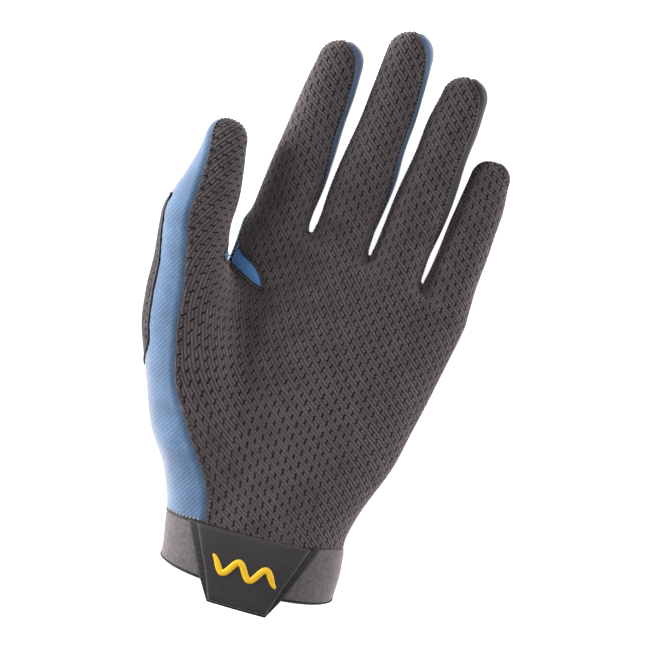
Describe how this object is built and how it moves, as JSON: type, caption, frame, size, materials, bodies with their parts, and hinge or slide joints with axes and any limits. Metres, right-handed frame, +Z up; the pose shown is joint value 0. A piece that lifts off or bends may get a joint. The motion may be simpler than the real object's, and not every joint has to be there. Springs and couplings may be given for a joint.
{
  "type": "sailing glove",
  "caption": "Full-finger stretch sailing glove for a left hand, lying palm up, with vented grip palm, sewn cuff and moulded pull tab; each digit bends at its own joints.",
  "frame": {"origin": "centre of the flat patch on the back of the hand that the glove lies on", "axes": "+Y from the cuff to the fingertips, +X from the thumb to the little finger, +Z up out of the palm"},
  "size_m": [0.1236, 0.2262, 0.045],
  "materials": {
    "palm_textile": "ribbed knit with a rubbery grip print and small vent slots",
    "stretch_blue": "smooth matt stretch fabric, blue",
    "stretch_dark": "smooth matt stretch fabric, dark grey",
    "cuff_neoprene": "neoprene faced with a fine knit",
    "moulded_rubber": "soft satin moulded rubber",
    "yellow_print": "raised yellow rubber"
  },
  "bodies": {
    "hand": {"palm_panel": "palm_textile", "back_panel": "stretch_blue", "back_patch": "palm_textile", "thumb_side_panel": "stretch_blue", "thumb_gusset": "stretch_blue", "thumb_back_patch": "palm_textile", "cuff_thumb_side": "cuff_neoprene", "cuff_little_side": "cuff_neoprene", "cuff_insert": "stretch_dark", "cuff_hem": "moulded_rubber", "pull_tab": "moulded_rubber", "tab_face": "moulded_rubber", "tab_emblem": "yellow_print", "index_knuckle_sleeve": "palm_textile", "middle_knuckle_sleeve": "palm_textile", "ring_knuckle_sleeve": "palm_textile", "little_knuckle_sleeve": "palm_textile", "thumb_base_sleeve": "palm_textile"},
    "index_proximal": {"index_proximal_palm": "palm_textile", "index_proximal_back": "stretch_blue", "index_fourchette": "stretch_blue", "index_middle_sleeve": "palm_textile"},
    "index_middle": {"index_middle_palm": "palm_textile", "index_middle_back": "stretch_blue", "index_tip_sleeve": "palm_textile"},
    "index_tip": {"index_tip_palm": "palm_textile", "index_tip_back": "stretch_blue"},
    "middle_proximal": {"middle_proximal_palm": "palm_textile", "middle_proximal_back": "stretch_blue", "middle_fourchette": "stretch_blue", "middle_middle_sleeve": "palm_textile"},
    "middle_middle": {"middle_middle_palm": "palm_textile", "middle_middle_back": "stretch_blue", "middle_tip_sleeve": "palm_textile"},
    "middle_tip": {"middle_tip_palm": "palm_textile", "middle_tip_back": "stretch_blue"},
    "ring_proximal": {"ring_proximal_palm": "palm_textile", "ring_proximal_back": "stretch_dark", "ring_fourchette": "stretch_dark", "ring_middle_sleeve": "palm_textile"},
    "ring_middle": {"ring_middle_palm": "palm_textile", "ring_middle_back": "stretch_dark", "ring_tip_sleeve": "palm_textile"},
    "ring_tip": {"ring_tip_palm": "palm_textile", "ring_tip_back": "stretch_dark"},
    "little_proximal": {"little_proximal_palm": "palm_textile", "little_proximal_back": "stretch_dark", "little_fourchette": "stretch_dark", "little_middle_sleeve": "palm_textile"},
    "little_middle": {"little_middle_palm": "palm_textile", "little_middle_back": "stretch_dark", "little_tip_sleeve": "palm_textile"},
    "little_tip": {"little_tip_palm": "palm_textile", "little_tip_back": "stretch_dark"},
    "thumb_proximal": {"thumb_proximal_palm": "palm_textile", "thumb_proximal_side": "stretch_blue", "thumb_tip_sleeve": "palm_textile"},
    "thumb_tip": {"thumb_tip_palm": "palm_textile", "thumb_tip_side": "stretch_blue"}
  },
  "joints": [
    {"name": "index_knuckle", "type": "hinge", "parent": "hand", "child": "index_proximal", "pos_m": [-0.02947, 0.05397, 0.01521], "axis": [0.9962, -0.0872, 0], "range_deg": [0, 70], "deforming": ["index_knuckle_sleeve"]},
    {"name": "index_middle", "type": "hinge", "parent": "index_proximal", "child": "index_middle", "pos_m": [-0.02703, 0.08187, 0.01521], "axis": [0.9962, -0.0872, 0], "range_deg": [0, 80], "deforming": ["index_middle_sleeve"]},
    {"name": "index_tip", "type": "hinge", "parent": "index_middle", "child": "index_tip", "pos_m": [-0.02551, 0.0993, 0.01521], "axis": [0.9962, -0.0872, 0], "range_deg": [0, 40], "deforming": ["index_tip_sleeve"]},
    {"name": "middle_knuckle", "type": "hinge", "parent": "hand", "child": "middle_proximal", "pos_m": [-0.00483, 0.05398, 0.01521], "axis": [0.9969, -0.0785, 0], "range_deg": [0, 70], "deforming": ["middle_knuckle_sleeve"]},
    {"name": "middle_middle", "type": "hinge", "parent": "middle_proximal", "child": "middle_middle", "pos_m": [-0.00232, 0.08588, 0.01521], "axis": [0.9969, -0.0785, 0], "range_deg": [0, 80], "deforming": ["middle_middle_sleeve"]},
    {"name": "middle_tip", "type": "hinge", "parent": "middle_middle", "child": "middle_tip", "pos_m": [-0.00079, 0.10532, 0.01521], "axis": [0.9969, -0.0785, 0], "range_deg": [0, 40], "deforming": ["middle_tip_sleeve"]},
    {"name": "ring_knuckle", "type": "hinge", "parent": "hand", "child": "ring_proximal", "pos_m": [0.01777, 0.04997, 0.01522], "axis": [0.9954, -0.0958, 0], "range_deg": [0, 70], "deforming": ["ring_knuckle_sleeve"]},
    {"name": "ring_middle", "type": "hinge", "parent": "ring_proximal", "child": "ring_middle", "pos_m": [0.02055, 0.07883, 0.01522], "axis": [0.9954, -0.0958, 0], "range_deg": [0, 80], "deforming": ["ring_middle_sleeve"]},
    {"name": "ring_tip", "type": "hinge", "parent": "ring_middle", "child": "ring_tip", "pos_m": [0.02232, 0.09725, 0.01522], "axis": [0.9954, -0.0958, 0], "range_deg": [0, 40], "deforming": ["ring_tip_sleeve"]},
    {"name": "little_knuckle", "type": "hinge", "parent": "hand", "child": "little_proximal", "pos_m": [0.03884, 0.04448, 0.01445], "axis": [0.9969, -0.0785, 0], "range_deg": [0, 70], "deforming": ["little_knuckle_sleeve"]},
    {"name": "little_middle", "type": "hinge", "parent": "little_proximal", "child": "little_middle", "pos_m": [0.04017, 0.06143, 0.01445], "axis": [0.9969, -0.0785, 0], "range_deg": [0, 80], "deforming": ["little_middle_sleeve"]},
    {"name": "little_tip", "type": "hinge", "parent": "little_middle", "child": "little_tip", "pos_m": [0.04125, 0.07514, 0.01445], "axis": [0.9969, -0.0785, 0], "range_deg": [0, 40], "deforming": ["little_tip_sleeve"]},
    {"name": "thumb_base", "type": "hinge", "parent": "hand", "child": "thumb_proximal", "pos_m": [-0.05927, 0.035, 0.02625], "axis": [0.9994, 0.0349, 0], "range_deg": [0, 40], "deforming": ["thumb_base_sleeve"]},
    {"name": "thumb_tip", "type": "hinge", "parent": "thumb_proximal", "child": "thumb_tip", "pos_m": [-0.05987, 0.05199, 0.02625], "axis": [0.9994, 0.0349, 0], "range_deg": [0, 55], "deforming": ["thumb_tip_sleeve"]}
  ],
  "couplings": [
    {"joint": "index_tip", "follows": "index_middle", "ratio": 0.5},
    {"joint": "middle_tip", "follows": "middle_middle", "ratio": 0.5},
    {"joint": "ring_tip", "follows": "ring_middle", "ratio": 0.5},
    {"joint": "little_tip", "follows": "little_middle", "ratio": 0.5}
  ]
}
